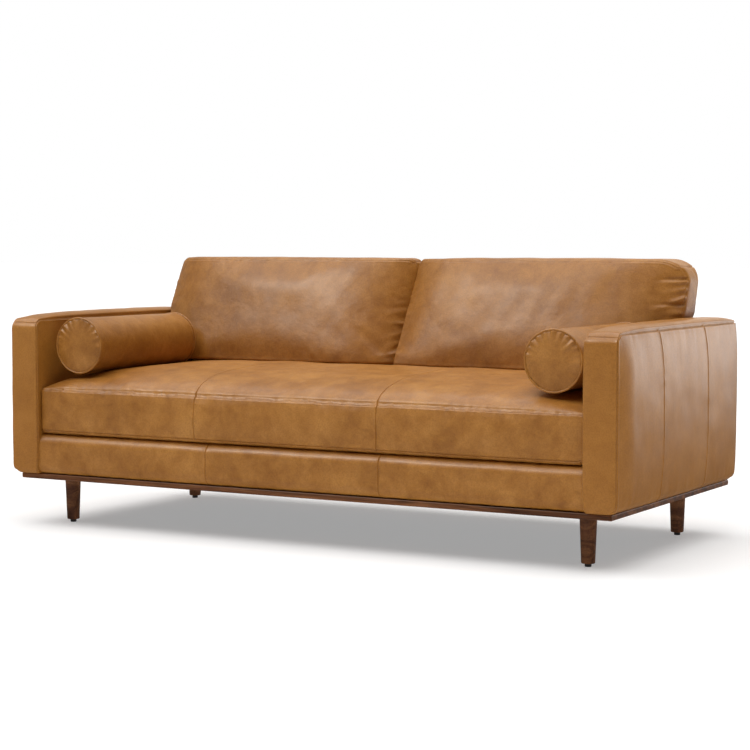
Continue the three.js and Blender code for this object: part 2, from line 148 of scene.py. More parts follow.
def swollen(points, t, swell, powers):
    """Moves each face out by its [low side, high side] swell, most in the middle."""
    domes = np.sqrt(1 - np.abs(t) ** np.asarray(powers, float))
    moved = points.copy()
    for axis, a, b in TURNS:
        amount = np.where(t[:, axis] < 0, swell[axis][0], swell[axis][1])
        moved[:, axis] += amount * t[:, axis] * domes[:, a] * domes[:, b]
    return moved


def rolled(points, axes, corner, inward, radius, share=1.0):
    """Rolls one long edge of a box over to a radius, in the plane of two axes. inward points from
    the edge's corner into the box, and share fades the roll from point to point."""
    a, b = axes
    centre = [corner[0] + inward[0] * radius, corner[1] + inward[1] * radius]
    da = (points[:, a] - centre[0]) * -inward[0]
    db = (points[:, b] - centre[1]) * -inward[1]
    inside = (da > 0) & (db > 0)
    length = np.maximum(np.hypot(da, db), TINY)
    factor = 1 - share * (1 - np.maximum(da, db) / length)
    moved = points.copy()
    moved[:, a] = np.where(inside, centre[0] - inward[0] * da * factor, points[:, a])
    moved[:, b] = np.where(inside, centre[1] - inward[1] * db * factor, points[:, b])
    return moved


def raised(points, quads, height):
    """Moves each point along its normal."""
    p = points[quads]
    faces = np.cross(p[:, 2] - p[:, 0], p[:, 3] - p[:, 1])
    total = np.zeros_like(points)
    for corner in range(4):
        np.add.at(total, quads[:, corner], faces)
    normals = total / np.maximum(np.linalg.norm(total, axis=1, keepdims=True), TINY)
    return points + normals * height[:, None]


def groove(distance, depth=2.2 * MM, width=1.3 * MM, lip=0.7 * MM):
    """Cross-section of a sewn seam: a narrow valley with a soft lip on each side."""
    valley = -depth * np.exp(-((distance / width) ** 2))
    ridge = lip * np.exp(-(((np.abs(distance) - 3.2 * width) / (1.7 * width)) ** 2))
    return valley + ridge


def edge_distance(q, corner, axes):
    """How far a point of an unrounded box is from the edge where two of its faces meet."""
    a, b = axes
    return np.maximum(np.abs(q[:, a] - corner[a]), np.abs(q[:, b] - corner[b]))


def folds(u, v, strokes):
    """Height of a set of folds at face coordinates u and v. Each stroke is the point where a fold
    starts, its direction, length and width, and its height there."""
    height = np.zeros(len(u))
    for u0, v0, angle, length, width, size in strokes:
        du, dv = u - u0, v - v0
        along = du * math.cos(angle) + dv * math.sin(angle)
        aside = dv * math.cos(angle) - du * math.sin(angle)
        ahead = np.clip(1 - np.maximum(along, 0) / length, 0, 1) ** 1.6
        behind = np.exp(-((np.minimum(along, 0) / width) ** 2))
        spread = width * (1 + np.clip(along / length, 0, 1))
        height += size * ahead * behind * np.exp(-((aside / spread) ** 2))
    return height


def puckers(rng, start, end, direction, pitch, length, width, size, fan=0.10):
    """Strokes for short folds that leave a seam from start to end, all roughly along direction."""
    start, end = np.array(start, float), np.array(end, float)
    run = np.linalg.norm(end - start)
    strokes = []
    place = rng.uniform(0.3, 1) * pitch
    while place < run:
        u, v = start + (end - start) * place / run
        angle = direction + rng.normal(0, fan)
        reach = length * rng.uniform(0.45, 1.4)
        height = size * rng.choice([1, -1]) * rng.uniform(0.3, 1.1)
        strokes.append((u, v, angle, reach, width * rng.uniform(0.7, 1.3), height))
        place += pitch * rng.uniform(0.5, 1.6)
    return strokes


def seam_puckers(rng, seams, low, high, *sizes):
    """Strokes on both sides of upright seams that run from low to high."""
    strokes = []
    for seam in seams:
        for direction in (0, math.pi):
            strokes += puckers(rng, (seam, low), (seam, high), direction, *sizes)
    return strokes


def waves(points, seed, scale, count=24):
    """A soft random surface between about -1 and 1: a sum of plane waves."""
    rng = np.random.default_rng(seed)
    total = np.zeros(len(points))
    for _ in range(count):
        direction = rng.normal(size=3)
        direction /= np.linalg.norm(direction)
        length = scale * rng.uniform(0.6, 1.8)
        phase = rng.uniform(0, 2 * math.pi)
        total += np.sin(points @ direction * (2 * math.pi / length) + phase)
    return total / math.sqrt(count / 2) / 2


CATMULL_ROM = np.array([[0, 2, 0, 0], [-1, 0, 1, 0], [2, -5, 4, -1], [-1, 3, -3, 1]]) / 2


def cubic(rows, value):
    """The four rows round each value, and how much each of them counts."""
    at = np.clip(np.searchsorted(rows, value, side="right") - 1, 0, len(rows) - 2)
    t = np.clip((value - rows[at]) / (rows[at + 1] - rows[at]), 0, 1)
    weights = np.stack([np.ones_like(t), t, t**2, t**3], axis=1) @ CATMULL_ROM
    index = np.clip(at[:, None] + np.arange(-1, 3), 0, len(rows) - 1)
    return index, weights


def carried_over(rows, coarse, moves, fine):
    """Moves known on a coarse box grid, read smoothly at the points of a finer grid of that box."""
    counts = [len(r) for r in rows]
    index = [np.searchsorted(rows[axis], coarse[:, axis] - 1e-7) for axis in range(3)]
    result = np.zeros_like(fine)
    for axis, a, b in TURNS:
        for end in (0, counts[axis] - 1):
            on_coarse = index[axis] == end
            table = np.zeros((counts[a], counts[b], 3))
            table[index[a][on_coarse], index[b][on_coarse]] = moves[on_coarse]
            on_fine = np.abs(fine[:, axis] - rows[axis][end]) < 1e-6
            ia, wa = cubic(rows[a], fine[on_fine, a])
            ib, wb = cubic(rows[b], fine[on_fine, b])
            near = table[ia[:, :, None], ib[:, None, :]]
            result[on_fine] = np.einsum("nijk,ni,nj->nk", near, wa, wb)
    return result


def linked(name, data):
    """A new object in the scene."""
    thing = bpy.data.objects.new(name, data)
    bpy.context.scene.collection.objects.link(thing)
    return thing


SIM_FRAMES = 14
SIM_CAP = 12 * MM  # the furthest that a point moves
SIM_PRESSURE = 4.0
SIM_STIFFNESS = 15.0


def blown_up(points, quads, held, growth):
    """Runs the leather as cloth under the pressure of its filling and returns how far each point
    moved. held is 1 at sewn and resting points, and growth is the leather's spare size."""
    mesh = bpy.data.meshes.new("blown")
    mesh.from_pydata(points.tolist(), [], quads.tolist())
    skin_object = linked("blown", mesh)
    group = skin_object.vertex_groups.new(name="held")
    for i in np.nonzero(held > 0)[0]:
        group.add([int(i)], float(held[i]), "REPLACE")
    cloth = skin_object.modifiers.new("cloth", "CLOTH")
    settings = cloth.settings
    settings.quality = 6
    settings.mass = 0.4
    settings.tension_stiffness = SIM_STIFFNESS
    settings.compression_stiffness = SIM_STIFFNESS
    settings.shear_stiffness = SIM_STIFFNESS / 3
    settings.bending_stiffness = 2.0
    settings.use_pressure = True
    settings.uniform_pressure_force = SIM_PRESSURE
    settings.effector_weights.gravity = 0
    settings.vertex_group_mass = "held"
    settings.pin_stiffness = 1.0
    settings.shrink_min = -growth
    cloth.collision_settings.use_collision = False
    cloth.point_cache.frame_start = 1
    cloth.point_cache.frame_end = SIM_FRAMES
    scene = bpy.context.scene
    for number in range(1, SIM_FRAMES + 1):
        scene.frame_set(number)
    result = skin_object.evaluated_get(bpy.context.evaluated_depsgraph_get()).to_mesh()
    moved = np.zeros(len(points) * 3, np.float32)
    result.vertices.foreach_get("co", moved)
    moves = moved.reshape(-1, 3).astype(float) - points
    bpy.data.objects.remove(skin_object)
    bpy.data.meshes.remove(mesh)
    scene.frame_set(1)
    furthest = np.linalg.norm(moves, axis=1).max()
    return moves * min(1, SIM_CAP / furthest)


def simulated(fine, low, high, counts, shape, held, growth):
    """How far the points of a cushion's grid move once a coarse copy of it is blown up."""
    grid = [np.linspace(*row) for row in zip(low, high, counts)]
    coarse, quads = box_grid(*grid)
    t = across(coarse, low, high)
    moves = blown_up(shape(coarse, t), quads, held(coarse, t).astype(float), growth)
    return carried_over(grid, coarse, moves, fine)


def placed(name, mesh, material, body, slot, *nodes):
    """A piece of one material that rides on a body and stands for CAD nodes."""
    mesh.materials.clear()
    mesh.materials.append(material)
    piece = linked(name, mesh)
    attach(piece, body)
    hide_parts(*nodes)
    return piece


def make(name, points, faces, material, body, slot, *nodes):
    """A smooth piece. faces is an array of quads, or a list of faces of any kind."""
    faces = faces.tolist() if isinstance(faces, np.ndarray) else faces
    mesh = bpy.data.meshes.new(name)
    mesh.from_pydata(points.tolist(), [], faces)
    mesh.validate()
    mesh.polygons.foreach_set("use_smooth", [True] * len(mesh.polygons))
    return placed(name, mesh, material, body, slot, *nodes)


def np_box(node):
    """The low and the high corner of a CAD node."""
    low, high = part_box(node)
    return np.array(low), np.array(high)


# Materials


class Nodes:
    """The nodes of a new material or world, with short ways to add and join them."""

    def __init__(self, name, kind=bpy.data.materials):
        self.owner = kind.new(name)
        self.owner.use_nodes = True
        self.tree = self.owner.node_tree

    def add(self, kind, inputs=None, **settings):
        node = self.tree.nodes.new("ShaderNode" + kind)
        for key, value in settings.items():
            setattr(node, key, value)
        for key, value in (inputs or {}).items():
            self.put(node.inputs[key], value)
        return node

    def put(self, socket, value):
        if isinstance(value, bpy.types.NodeSocket):
            self.tree.links.new(value, socket)
        else:
            socket.default_value = value

    def place(self, scale=(1, 1, 1), turn=(0, 0, 0)):
        coordinates = self.add("TexCoord").outputs["Object"]
        mapping = self.add("Mapping", {"Vector": coordinates, "Scale": scale, "Rotation": turn})
        return mapping.outputs["Vector"]

    def noise(self, vector, scale, detail=3.0, rough=0.5, twist=0.0):
        inputs = {"Vector": vector, "Scale": scale, "Detail": detail, "Roughness": rough}
        return self.add("TexNoise", {**inputs, "Distortion": twist}).outputs["Fac"]

    def ramp(self, value, *stops):
        """Colours or greys at places from 0 to 1."""
        node = self.add("ValToRGB", {"Fac": value})
        elements = node.color_ramp.elements
        while len(elements) < len(stops):
            elements.new(0.5)
        for element, (place, colour) in zip(elements, stops):
            element.position = place
            grey = (colour,) * 3 if isinstance(colour, (int, float)) else colour
            element.color = (*grey, 1)
        return node.outputs["Color"]

    def mix(self, share, a, b, blend="MIX"):
        node = self.add("Mix", data_type="RGBA", blend_type=blend)
        self.put(node.inputs["Factor"], share)
        for socket, value in ((node.inputs[6], a), (node.inputs[7], b)):
            self.put(socket, (*value, 1) if isinstance(value, tuple) else value)
        return node.outputs[2]

    def math(self, operation, a, b):
        node = self.add("Math", operation=operation)
        self.put(node.inputs[0], a)
        self.put(node.inputs[1], b)
        return node.outputs[0]

    def blend(self, share, a, b):
        """The same as mix, for numbers."""
        return self.add("Mix", {0: share, 2: a, 3: b}).outputs[0]

    def range(self, value, low, high, start=0.0, end=1.0):
        """low to high, as the value goes from start to end."""
        inputs = {"Value": value, "From Min": start, "From Max": end, "To Min": low, "To Max": high}
        return self.add("MapRange", inputs).outputs["Result"]

    def bump(self, height, distance, strength=1.0, below=None):
        inputs = {"Height": height, "Distance": distance, "Strength": strength}
        if below is not None:
            inputs["Normal"] = below
        return self.add("Bump", inputs).outputs["Normal"]

    def set(self, **inputs):
        sockets = self.tree.nodes["Principled BSDF"].inputs
        for key, value in inputs.items():
            value = (*value, 1) if isinstance(value, tuple) else value
            self.put(sockets[key.replace("_", " ")], value)


WALNUT_DARK = (0.060, 0.019, 0.007)
WALNUT_MAIN = (0.160, 0.056, 0.018)
WALNUT_LIGHT = (0.270, 0.105, 0.036)
WAVE_LENGTH = 2 * math.pi / 20  # how far apart a wave texture's bands are at scale 1
LEATHER_DARK = (0.265, 0.096, 0.011)
LEATHER_MAIN = (0.400, 0.162, 0.026)
LEATHER_LIGHT = (0.530, 0.238, 0.048)


def leather(name, streaks=(1, 1, 1), relief=1.0, shine=(0.27, 0.52), mottle=0.75):
    """Waxed tan leather: cloudy colour, a fine pebbled grain, small creases and a satin coat.
    streaks draws the unevenness out along an axis, relief is lower where the hide is stretched
    flat, shine is the lowest and highest roughness, and mottle is how cloudy the colour is."""
    n = Nodes(name)
    plain = n.place()
    drawn = n.place(streaks)
    clouds = n.noise(plain, 4.0, 5, 0.62, 0.2)
    patches = n.noise(plain, 19.0, 5, 0.62, 0.3)
    both = n.math("ADD", n.math("MULTIPLY", clouds, 0.5), n.math("MULTIPLY", patches, 0.5))
    colour = n.ramp(both, (0.36, LEATHER_DARK), (0.50, LEATHER_MAIN), (0.64, LEATHER_LIGHT))
    colour = n.mix(mottle, LEATHER_MAIN, colour)
    flecks = n.ramp(n.noise(plain, 240.0, 4, 0.7), (0.36, 0.72), (0.58, 1.0))
    colour = n.mix(0.7, colour, flecks, "MULTIPLY")
    cells = n.add("TexVoronoi", {"Vector": plain, "Scale": 620.0}, feature="DISTANCE_TO_EDGE")
    pebbles = n.ramp(cells.outputs["Distance"], (0.0, 0.0), (0.12, 0.8), (0.4, 1.0))
    creases = n.noise(n.place((1.0, 1.6, 1.0)), 46.0, 6, 0.62, 1.4)
    soft = n.noise(drawn, 13.0, 5, 0.55, 0.3)
    normal = n.bump(soft, 5.0 * MM * relief, 0.5)
    normal = n.bump(creases, 1.2 * MM * relief, 0.45, normal)
    normal = n.bump(pebbles, 0.16 * MM * relief, 0.45, normal)
    rough = n.range(n.noise(drawn, 16.0, 5, 0.6), *shine)
    n.set(Base_Color=colour, Roughness=rough, Normal=normal, Specular_IOR_Level=0.32)
    n.set(Coat_Weight=0.10, Coat_Roughness=0.24, Coat_IOR=1.45)
    return n.owner


def walnut(name, turn):
    """Oiled walnut with its grain along the object's X axis once turned."""
    n = Nodes(name)
    long_grain = n.place((1.6, 26.0, 26.0), turn)
    pores = n.place((14.0, 420.0, 420.0), turn)
    figure = n.noise(long_grain, 1.0, 5, 0.6, 1.2)
    colour = n.ramp(figure, (0.32, WALNUT_DARK), (0.50, WALNUT_MAIN), (0.68, WALNUT_LIGHT))
    lines = n.noise(pores, 1.0, 3, 0.6)
    colour = n.mix(0.55, colour, n.ramp(lines, (0.38, 0.35), (0.52, 1.0)), "MULTIPLY")
    normal = n.bump(lines, 0.15 * MM, 0.4)
    n.set(Base_Color=colour, Roughness=n.range(figure, 0.30, 0.46), Normal=normal)
    n.set(Specular_IOR_Level=0.25)
    return n.owner


def cloth(name, dark, light, pitch):
    """A plain weave: two crossed waves, with some unevenness in the yarns."""
    n = Nodes(name)
    place = n.place()
    yarns = {"Vector": place, "Scale": WAVE_LENGTH / pitch}
    warp = n.add("TexWave", yarns, bands_direction="X")
    weft = n.add("TexWave", yarns, bands_direction="Y")
    weave = n.math("MULTIPLY", warp.outputs["Fac"], weft.outputs["Fac"])
    dirt = n.noise(place, 30.0, 4)
    colour = n.ramp(n.math("MULTIPLY", n.math("ADD", weave, dirt), 0.6), (0.1, dark), (0.8, light))
    n.set(Base_Color=colour, Roughness=0.9, Normal=n.bump(weave, 0.25 * MM, 0.6))
    n.set(Sheen_Weight=0.3)
    return n.owner


def timber(name, dark, light):
    """Sawn timber or plywood with its grain along X."""
    n = Nodes(name)
    grain = n.noise(n.place((3.0, 60.0, 60.0)), 1.0, 6, 0.65, 1.5)
    n.set(Base_Color=n.ramp(grain, (0.3, dark), (0.7, light)), Roughness=0.75)
    n.set(Normal=n.bump(grain, 0.3 * MM, 0.5))
    return n.owner


def foam(name, dark, light):
    """Open-celled foam or wadding."""
    n = Nodes(name)
    place = n.place()
    cells = n.add("TexVoronoi", {"Vector": place, "Scale": 900.0}).outputs["Distance"]
    tone = n.noise(place, 9.0, 4)
    n.set(Base_Color=n.ramp(tone, (0.3, dark), (0.7, light)), Roughness=0.95)
    n.set(Normal=n.bump(cells, 0.6 * MM, 0.8))
    return n.owner


def zinc(name):
    """Zinc-plated steel with a faint blue and yellow cast."""
    n = Nodes(name)
    place = n.place()
    spangle = n.noise(place, 120.0, 5, 0.6)
    colour = n.ramp(spangle, (0.35, (0.50, 0.51, 0.53)), (0.65, (0.68, 0.66, 0.58)))
    n.set(Base_Color=colour, Metallic=0.95, Roughness=n.range(spangle, 0.28, 0.5))
    n.set(Normal=n.bump(n.noise(place, 900.0, 2), 0.05 * MM, 0.5))
    return n.owner


def nylon(name):
    """Moulded black nylon with a fine spark-eroded texture."""
    n = Nodes(name)
    speckle = n.noise(n.place(), 1400.0, 2)
    colour = n.ramp(speckle, (0.3, (0.010, 0.010, 0.011)), (0.7, (0.022, 0.022, 0.024)))
    n.set(Base_Color=colour, Roughness=0.5, Normal=n.bump(speckle, 0.08 * MM, 0.5))
    return n.owner


skin = leather("tan_leather")
skin_down = leather(
    "tan_leather_drawn_down", streaks=(1.0, 1.3, 0.45), relief=0.35, shine=(0.26, 0.40), mottle=0.35
)
walnut_x = walnut("walnut_along_x", (0, 0, 0))
walnut_y = walnut("walnut_along_y", (0, 0, QUARTER))
walnut_z = walnut("walnut_along_z", (0, QUARTER, 0))
black_nylon = nylon("black_nylon")
cream_foam = foam("cream_foam", (0.70, 0.63, 0.42), (0.84, 0.79, 0.62))
PADDING_DEPTH = 5 * MM  # from the leather in to the foam


def add_body_leather(name, points, faces, material=skin):
    """The leather of an arm, the back or the rail."""
    piece = make(f"{name}_leather", points, faces, material, ROOT, "leather", f"{name}_cover")


def add_padding(name, points, quads):
    """The foam behind the leather of an arm or the rail."""
    inner = raised(points, quads, np.full(len(points), -PADDING_DEPTH))
    make(f"{name}_padding", inner, quads, cream_foam, ROOT, "foam", f"{name}_foam")


def add_cushion_leather(name, points, faces):
    """The leather of a loose cushion, which hides its core as well."""
    nodes = (f"{name}_cover", f"{name}_core")
    piece = make(f"{name}_leather", points, faces, skin, name, "leather", *nodes)


# The body: arms, back and front rail

ARM_SEAMS = (-190 * MM, 182 * MM)  # vertical seams on the outer side of an arm
LONG_SEAMS = (-310 * MM, 310 * MM)  # vertical seams on the front rail and the back
ARM_CROWN = 14 * MM  # how far the top of an arm swells up between its seams
ARM_INNER_BELLY = 7 * MM  # how far the front strip's inner edge swells out at the front
ARM_RAMP = 90 * MM  # how far back from the front seam the outer side reaches its full swell
ARM_MORE_BULGE = 4 * MM  # how much more the middle of the outer side swells than the part does
ARM_MORE_CROWN = 8 * MM  # the same for the top
ARM_BELLY_REACH = 65 * MM  # how far back from the front the inner edge's swell fades
ARM_CROWN_REACH = 80 * MM  # how far back from the front the top's swell builds up
SEAM_BEND = 12 * MM  # how far an arm's outer seams lean forward at their ends


def arm_shape(q, t, low, high):
    """Tight sewn edges along the top strip, which rolls over at the front; round outer edges at
    the rear and at the bottom."""
    points = rounded(q, low, high, 5 * MM)
    rolls = (
        ((1, 2), (low[1], high[2]), (1, -1), 30 * MM),  # top front
        ((1, 2), (high[1], high[2]), (-1, -1), 16 * MM),  # top rear
        ((1, 2), (low[1], low[2]), (1, 1), 14 * MM),  # bottom front
        ((1, 2), (high[1], low[2]), (-1, 1), 40 * MM),  # bottom rear
        ((0, 2), (high[0], low[2]), (-1, 1), 30 * MM),  # bottom outside
        ((0, 1), (high[0], high[1]), (-1, -1), 44 * MM),  # rear outside
    )
    for roll in rolls:
        points = rolled(points, *roll)
    behind = np.maximum(q[:, 1] - low[1], 0)
    near_front = np.exp(-behind / ARM_BELLY_REACH)
    domes = np.sqrt(1 - np.abs(t) ** 4)
    ramp = 1 - np.clip(1 - behind / ARM_RAMP, 0, 1) ** 1.6
    over_y = np.where(t[:, 1] < 0, ramp, domes[:, 1])
    over_z = np.sqrt(1 - np.abs(t[:, 2]) ** 2.6)
    inner = np.maximum(-t[:, 0], 0) * ARM_INNER_BELLY * near_front * domes[:, 2]
    outer = np.maximum(t[:, 0], 0) * (ARM_BULGE + ARM_MORE_BULGE) * over_y * over_z
    along = np.where(t[:, 1] < 0, 1 - np.exp(-behind / ARM_CROWN_REACH), domes[:, 1])
    upper = np.maximum(t[:, 2], 0) * (ARM_CROWN + ARM_MORE_CROWN) * along * domes[:, 0]
    points = swollen(points, t, [[0, 0], [CROWN, CROWN], [0, 0]], [4, 5, 3])
    return points + np.stack([outer - inner, 0 * inner, upper], axis=1)


def add_arm(side, seed):
    """The arms are mirror images but for their creases, so both are built as the right one."""
    name = "arm_right" if side > 0 else "arm_left"
    low, high = np_box("arm_right_cover")
    low += [0, CROWN, 0]
    high -= [ARM_BULGE, CROWN, ARM_CROWN]
    xs = with_arcs(graded((low[0], 4 * MM), (high[0], 4 * MM)))
    ys = with_marks(with_arcs(finer_ends(low[1], high[1], 3 * MM, 7 * MM)), *ARM_SEAMS)
    zs = with_arcs(finer_ends(low[2], high[2], 3 * MM, 8 * MM))
    q, quads = box_grid(xs, ys, zs)
    t = across(q, low, high)
    outer = t[:, 0] > ON_FACE
    for seam in ARM_SEAMS:
        near = np.exp(-(((q[:, 1] - seam) / 0.06) ** 2)) * outer
        q[:, 1] -= SEAM_BEND * near * np.abs(t[:, 2]) ** 3
    points = arm_shape(q, t, low, high)
    rng = np.random.default_rng(seed)
    height = np.zeros(len(q))
    for x_end in (low[0], high[0]):
        corner = (x_end, low[1], high[2])
        front = edge_distance(q, corner, (0, 1))
        top = edge_distance(q, corner, (0, 2))
        height += groove(np.minimum(front, top), 2.0 * MM)
    for seam in ARM_SEAMS:
        bend = SEAM_BEND * np.abs(t[:, 2]) ** 3
        height += groove(q[:, 1] - seam + bend, 1.8 * MM) * outer
    strokes = seam_puckers(rng, ARM_SEAMS, low[2], high[2], 0.05, 0.05, 9 * MM, 0.7 * MM)
    top_run = ((low[1], high[2]), (high[1], high[2]))
    strokes += puckers(rng, *top_run, -QUARTER, 0.035, 0.08, 7 * MM, 0.8 * MM)
    bottom_run = ((low[1], low[2] + 0.03), (high[1], low[2] + 0.03))
    strokes += puckers(rng, *bottom_run, QUARTER, 0.05, 0.10, 10 * MM, 1.0 * MM)
    height += folds(q[:, 1], q[:, 2], strokes) * outer
    height += waves(points * [1, 1, 0.25], seed, 0.16) * 0.9 * MM * smoothstep(0.0, 0.9, t[:, 0])
    height += waves(points, seed + 1, 0.10) * 0.5 * MM
    creased = raised(points, quads, height)
    if side < 0:
        mirror = np.array([-1, 1, 1])
        points, creased, quads = points * mirror, creased * mirror, quads[:, ::-1]
    add_body_leather(name, creased, quads, skin_down)
    add_padding(name, points, quads)


def long_rows(low, high):
    """Rows along the sofa for the back and the front rail."""
    return with_arcs(with_marks(graded((low, 6 * MM), (high, 6 * MM)), *LONG_SEAMS))


def add_back(seed):
    low, high = np_box("back_cover")
    high -= [0, CROWN, CROWN]
    xs = long_rows(low[0], high[0])
    ys = with_arcs(graded((low[1], 5 * MM), (high[1], 5 * MM)), 8 * MM, 8 * MM)
    zs = graded((low[2], 5 * MM), (low[2] + 0.1, 10 * MM), (high[2] - 0.1, 10 * MM), (high[2], 4 * MM))
    zs = with_arcs(zs, 0, 8 * MM)
    q, quads = box_grid(xs, ys, zs)
    t = across(q, low, high)
    points = rounded(q, low, high, [[5 * MM] * 2, [8 * MM, 14 * MM], [25 * MM, 12 * MM]])
    points = swollen(points, t, [[0, 0], [0, CROWN], [0, CROWN]], [8, 4, 4])
    rear = t[:, 1] > ON_FACE
    height = np.zeros(len(q))
    for y_end in (low[1], high[1]):
        height += groove(edge_distance(q, (0, y_end, high[2]), (1, 2)), 2.0 * MM)
    for seam in LONG_SEAMS:
        height += groove(q[:, 0] - seam, 1.8 * MM)
    rng = np.random.default_rng(seed)
    top_run = ((low[0], high[2]), (high[0], high[2]))
    strokes = puckers(rng, *top_run, -QUARTER, 0.04, 0.07, 8 * MM, 0.9 * MM)
    bottom_run = ((low[0], low[2] + 0.02), (high[0], low[2] + 0.02))
    strokes += puckers(rng, *bottom_run, QUARTER, 0.05, 0.09, 10 * MM, 1.0 * MM)
    height += folds(q[:, 0], q[:, 2], strokes) * rear
    height += waves(points * [1, 1, 0.4], seed + 1, 0.2) * 1.0 * MM * rear
    height += waves(points, seed + 2, 0.1) * 0.4 * MM
    add_body_leather("back", raised(points, quads, height), quads)


RAIL_EDGE = 32 * MM  # radius of the long edges at the front


def add_rail(seed):
    low, high = np_box("rail_cover")
    xs = long_rows(low[0], high[0])
    ys = with_arcs(graded((low[1], 3 * MM), (high[1], 5 * MM)), RAIL_EDGE, 2 * MM)
    zs = with_arcs(graded((low[2], 4 * MM), (high[2], 4 * MM)), RAIL_EDGE, RAIL_EDGE)
    q, quads = box_grid(xs, ys, zs)
    t = across(q, low, high)
    points = rounded(q, low, high, [[2 * MM] * 2, [RAIL_EDGE, 2 * MM], [RAIL_EDGE] * 2])
    add_padding("rail", points, quads)
    front = smoothstep(0.2, -0.6, t[:, 1])
    height = np.zeros(len(q))
    for seam in LONG_SEAMS:
        height += groove(q[:, 0] - seam, 2.6 * MM)
    rng = np.random.default_rng(seed)
    strokes = seam_puckers(rng, LONG_SEAMS, low[2], high[2], 0.04, 0.06, 8 * MM, 0.8 * MM)
    bottom_run = ((low[0], low[2]), (high[0], low[2]))
    strokes += puckers(rng, *bottom_run, QUARTER, 0.06, 0.05, 9 * MM, 0.8 * MM)
    height += folds(q[:, 0], q[:, 2], strokes) * front
    height += waves(points * [0.35, 1, 1], seed + 1, 0.09) * 0.9 * MM * front
    add_body_leather("rail", raised(points, quads, height), quads)


# The seat cushion

SEAT_SEAMS_X = (-355 * MM, 300 * MM)  # the seams that run from front to back
SEAT_LOW_SEAM = 12 * MM  # from the underside up to the lower seam
SEAT_HELD = 15 * MM  # how far up from the underside the simulation holds the leather still
SEAT_ROLL = 2 * MM  # how far the top rolls over above its seam
SEAT_BULGE = 10 * MM  # how far the front swells out between its seams


def seat_shape(q, t, low, high, crown):
    """A domed slab, rolled under along its lower edges and round at its upright ones."""
    points = rounded(q, low, high, [[3 * MM] * 2, [3 * MM] * 2, [5 * MM, SEAT_ROLL]])
    points = rolled(points, (1, 2), (low[1], low[2]), (1, 1), 17 * MM)
    for x_end, inward, under in ((low[0], 1, 12 * MM), (high[0], -1, 28 * MM)):
        points = rolled(points, (0, 2), (x_end, low[2]), (inward, 1), under)
        points = rolled(points, (0, 1), (x_end, low[1]), (inward, 1), 8 * MM)
        points = rolled(points, (0, 1), (x_end, high[1]), (inward, -1), 30 * MM)
    return swollen(points, t, [[4 * MM, 2 * MM], [SEAT_BULGE, 0], [0, crown]], [6, 4.5, 3])


def add_seat_cushion(seed):
    low, high = np_box("seat_cushion_cover")
    crown = high[2] - low[2] - SEAT_SEAM_RISE - SEAT_ROLL
    low = low + [0, SEAT_BULGE, 0]
    high = high - [0, 0, crown]
    xs = finer_ends(low[0], high[0], 4 * MM, 6 * MM)
    xs = with_arcs(with_marks(xs, *SEAT_SEAMS_X))
    ys = graded((low[1], 3 * MM), (low[1] + 0.1, 4.5 * MM), (low[1] + 0.3, 12 * MM), (high[1], 12 * MM))
    ys = with_arcs(ys)
    top_seam = high[2] - SEAT_ROLL
    zs = graded((low[2], 3 * MM), (top_seam - 0.02, 5 * MM), (high[2], 1 * MM))
    zs = with_arcs(with_marks(zs, low[2] + SEAT_LOW_SEAM), 6 * MM, SEAT_ROLL)
    q, quads = box_grid(xs, ys, zs)
    t = across(q, low, high)

    def held(coarse, t):
        seams = (np.abs(t[:, :2]) > ON_FACE).any(axis=1) & (t[:, 2] > ON_FACE)
        return seams | (coarse[:, 2] < low[2] + SEAT_HELD)

    def shape(q, t):
        return seat_shape(q, t, low, high, crown)

    points = shape(q, t) + simulated(q, low, high, (150, 68, 13), shape, held, 0.012)
    height = np.zeros(len(q))
    wall = (np.abs(t[:, :2]) > ON_FACE).any(axis=1)
    height += groove(q[:, 2] - low[2] - SEAT_LOW_SEAM, 3.0 * MM, 1.6 * MM, 1.2 * MM) * wall
    height += groove(q[:, 2] - top_seam, 1.5 * MM, 1.2 * MM, 0.4 * MM) * wall
    visible = smoothstep(-0.99, -0.9, t[:, 2]) * smoothstep(0.3, -0.2, t[:, 1])
    for seam in SEAT_SEAMS_X:
        height += groove(q[:, 0] - seam, 2.6 * MM) * visible
    rng = np.random.default_rng(seed)
    front = t[:, 1] < -ON_FACE
    top = (t[:, 2] > ON_FACE) & (t[:, 1] < 0.4)
    front_run = ((low[0], top_seam), (high[0], top_seam))
    under = puckers(rng, *front_run, -QUARTER, 0.020, 0.035, 5 * MM, 1.5 * MM)
    top_run = ((low[0], low[1]), (high[0], low[1]))
    above = puckers(rng, *top_run, QUARTER, 0.030, 0.05, 8 * MM, 0.9 * MM)
    sizes = (0.03, 0.05, 7 * MM, 1.2 * MM)
    under += seam_puckers(rng, SEAT_SEAMS_X, low[2] + 0.03, high[2], *sizes)
    height += folds(q[:, 0], q[:, 2], under) * front
    height += folds(q[:, 0], q[:, 1], above) * top
    loose = smoothstep(-0.9, 0.0, t[:, 2])
    height += waves(points, seed + 1, 0.24) * 1.8 * MM * loose
    height += waves(points * [0.6, 1, 1], seed + 2, 0.08) * 0.7 * MM * loose
    add_cushion_leather("seat_cushion", raised(points, quads, height), quads)


# The back cushions

BACK_DEPTH = 230 * MM
BACK_MIDDLE_Y = 225 * MM
BACK_SLOPE = 0.32  # how far a cushion leans back for each metre up
BACK_TAPER = 0.12  # how much of its depth the top loses
BACK_CROWN = 14 * MM
BACK_FALL = 100 * MM  # how far the front falls away to its side seams
BACK_FALL_TURN = 0.885  # 0 for a gentle fall, and towards 1 for one that turns in at the seams
BACK_INNER_ROLL = 110 * MM  # radius of the upper corner beside the other cushion, at the rear
BACK_OUTER = 14 * MM  # how far the side above an arm swells out over it
BACK_CORNERS = {"back_cushion_left": (28, 36), "back_cushion_right": (32, 76)}  # top radii, mm
BACK_TOP_SEAM = 7.5 * MM  # from the top of the front face down to its seam


